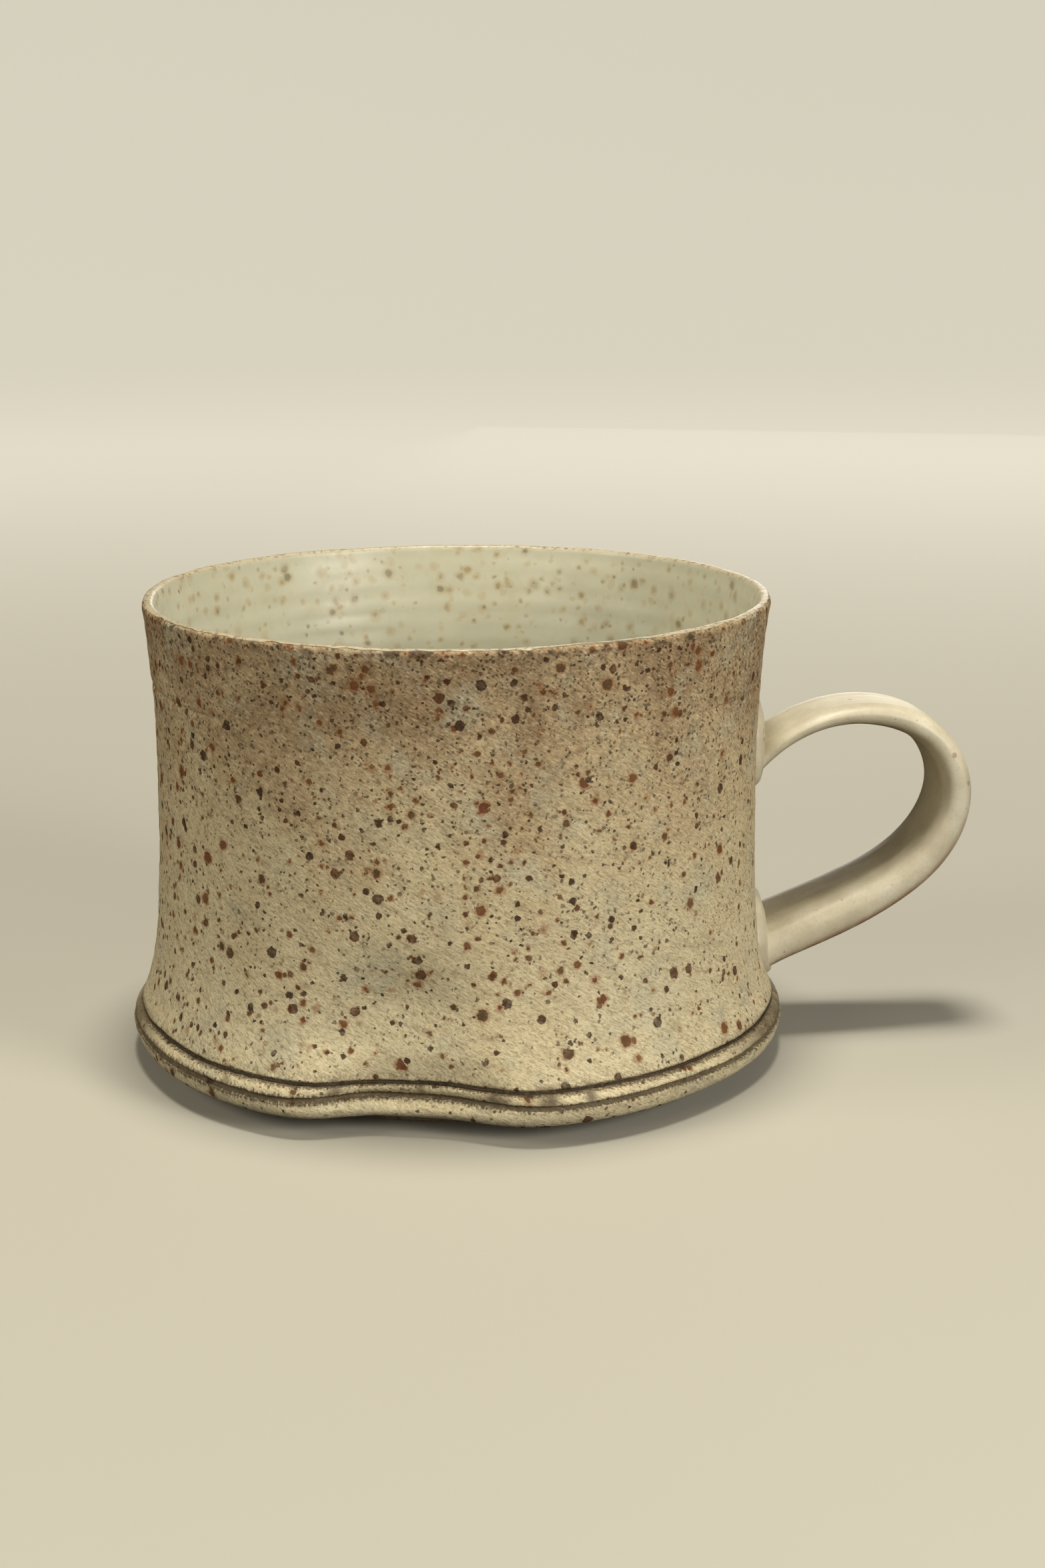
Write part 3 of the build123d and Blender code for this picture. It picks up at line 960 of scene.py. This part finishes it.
def make_joint(name, low, high, seed, thickness, stretch, material):
    """A smeared wad of clay on the wall, thickest in the middle, where the strap comes out of it."""
    rings, count = 40, 120
    middle = (low[2] + high[2]) / 2 - BASE
    half_height = (high[2] - low[2]) / 2 - JOINT_INSET
    half_width = (high[1] - low[1]) / 2
    turn = np.arange(count) * 2 * np.pi / count
    rows = []

    def put(share, lift):
        """Adds a ring that share of the way out from the middle, that far off the wall."""
        ragged = 1 + 0.035 * ripple(np.degrees(turn), [2, 3, 5], seed)
        side = share * half_width * np.cos(turn) * ragged
        height = middle + share * half_height * np.sin(turn) * ragged + stretch * (share * np.sin(turn))
        radius = wall_radius(height, 0.0, plain_radius(height))
        angle = np.degrees(side / radius)
        fingers = 0.07 * np.sin(side * 0.7 + seed) * np.sin(height * 0.6) * (1 - share)
        rows.append(polar(radius + lift + fingers * (lift > 0), height, angle))

    # under the wall's surface and outwards, then back over the top
    for share in np.linspace(0.05, 1.0, 8):
        put(share, -1.0)
    for share in np.linspace(1.04, 0.03, rings):
        dome = np.sqrt(max(0.0, 1 - (share / 1.04) ** 2.6))
        put(share, thickness * dome - 0.45 * step(share, 0.93, 1.04))
    points, faces = capped_rings(np.array(rows))
    edge = np.zeros(len(points))
    faces = [face[::-1] for face in faces]
    return new_piece(name + "_visual", points, faces, material, name, {"edge": edge})


# ---- studio --------------------------------------------------------------------------------------
STUDIO_FLAT = 1400.0  # how far the floor is flat, mm
STUDIO_SWEEP = 900.0  # and the radius of its curve beyond, mm


def make_floor(material):
    """A wide pale floor that curves up far away on every side."""
    count = 96
    turn = angles(count)
    outline = [(1.0, 0.0), (STUDIO_FLAT, 0.0)]
    for degrees in range(6, 91, 6):
        bend = math.radians(degrees)
        outline.append((STUDIO_FLAT + STUDIO_SWEEP * math.sin(bend), STUDIO_SWEEP * (1 - math.cos(bend))))
    rows = np.array([polar(np.full(count, radius), height - BASE, turn) for radius, height in outline])
    points = np.concatenate([rows.reshape(-1, 3), [[0.0, 0.0, 0.0]]])
    faces = [face[::-1] for face in ring_faces(len(rows), count)]
    faces += [(len(points) - 1, column, (column + 1) % count) for column in range(count)]
    floor = new_object("studio_floor", points, faces, material)
    floor.visible_diffuse = False
    floor.visible_glossy = False


# metres, degrees and millimetres of lens
LIGHT_DISTANCE = 1.0
LIGHT_AIM_HEIGHT = 0.04
CAMERA_TURN = -8.0  # from the handle to the camera's right
CAMERA_DISTANCE = 0.492
CAMERA_SIDE = 0.0118
CAMERA_HEIGHT = 0.1671
CAMERA_PITCH = 13.63
CAMERA_LENS = 63.87
CAMERA_SENSOR = 36.0
SOFT_WHITE = (1.0, 0.97, 0.92)


def look_along(direction):
    """A rotation whose -Z points along the direction and whose +Y points up."""
    back = -np.array(direction, float) / np.linalg.norm(direction)
    right = np.cross((0, 0, 1) if abs(back[2]) < 0.999 else (0, 1, 0), back)
    right /= np.linalg.norm(right)
    up = np.cross(back, right)
    return Matrix(((right[0], up[0], back[0]), (right[1], up[1], back[1]), (right[2], up[2], back[2])))


def add_softbox(name, azimuth, elevation, size, power, colour, spread=90.0):
    """A gridded round softbox facing the mug. The azimuth is from the camera's side towards its right."""
    light = bpy.data.lights.new(name, "AREA")
    light.shape = "DISK"
    light.size = size
    light.energy = power
    light.color = colour
    light.spread = math.radians(spread)
    lamp = bpy.data.objects.new(name, light)
    lamp.visible_camera = False
    bpy.context.scene.collection.objects.link(lamp)
    turn, lift = math.radians(azimuth - 90 + CAMERA_TURN), math.radians(elevation)
    level = math.cos(lift)
    outwards = np.array((level * math.cos(turn), level * math.sin(turn), math.sin(lift)))
    lamp.location = np.array((0.0, 0.0, LIGHT_AIM_HEIGHT)) + LIGHT_DISTANCE * outwards
    lamp.rotation_mode = "QUATERNION"
    lamp.rotation_quaternion = look_along(-outwards).to_quaternion()


def make_camera():
    data = bpy.data.cameras.new("camera")
    data.lens = CAMERA_LENS
    data.sensor_width = CAMERA_SENSOR
    camera = bpy.data.objects.new("camera", data)
    bpy.context.scene.collection.objects.link(camera)
    turn, pitch = math.radians(CAMERA_TURN), math.radians(CAMERA_PITCH)
    ahead = np.array((-math.sin(turn), math.cos(turn), 0.0))
    right = np.array((math.cos(turn), math.sin(turn), 0.0))
    camera.location = CAMERA_SIDE * right - CAMERA_DISTANCE * ahead + np.array((0, 0, CAMERA_HEIGHT))
    direction = ahead * math.cos(pitch) - np.array((0, 0, math.sin(pitch)))
    camera.rotation_mode = "QUATERNION"
    camera.rotation_quaternion = look_along(direction).to_quaternion()
    bpy.context.scene.camera = camera


def light_studio():
    world = bpy.data.worlds.new("studio")
    world.use_nodes = True
    sky = world.node_tree.nodes["Background"]
    sky.inputs["Color"].default_value = (1.0, 0.965, 0.9, 1.0)
    sky.inputs["Strength"].default_value = 0.015
    bpy.context.scene.world = world
    add_softbox("overhead", 0, 90, 0.3, 10.0, SOFT_WHITE, spread=180.0)
    add_softbox("key", 50, 20, 0.4, 1.84, (1.0, 0.97, 0.93))
    add_softbox("left_fill", -70, 30, 0.4, 0.78, (1.0, 0.94, 0.83))
    add_softbox("front_fill", -38, 20, 0.4, 0.54, SOFT_WHITE)
    add_softbox("low_fill", 12, 5, 0.4, 0.2, SOFT_WHITE)
    add_softbox("back_fill", 172, 5, 0.4, 0.09, SOFT_WHITE, spread=40.0)
    bpy.context.scene.view_settings.view_transform = "Standard"


glaze = speckled_glaze()
wash = oxide_wash()
pale = handle_glaze()
make_body(glaze)
make_liner(liner_glaze())
make_wash("lower_groove_wash", LOWER_GROOVE, LOWER_LINE_SEED, wash)
make_wash("upper_groove_wash", UPPER_GROOVE, UPPER_LINE_SEED, wash)
make_foot(bare_clay())
make_strap(pale)
make_joint("upper_handle_joint", upper_joint_low, upper_joint_high, 71, UPPER_THICKNESS, UPPER_STRETCH, pale)
make_joint("lower_handle_joint", lower_joint_low, lower_joint_high, 72, LOWER_THICKNESS, 0.0, pale)
make_floor(studio_floor())
light_studio()
make_camera()
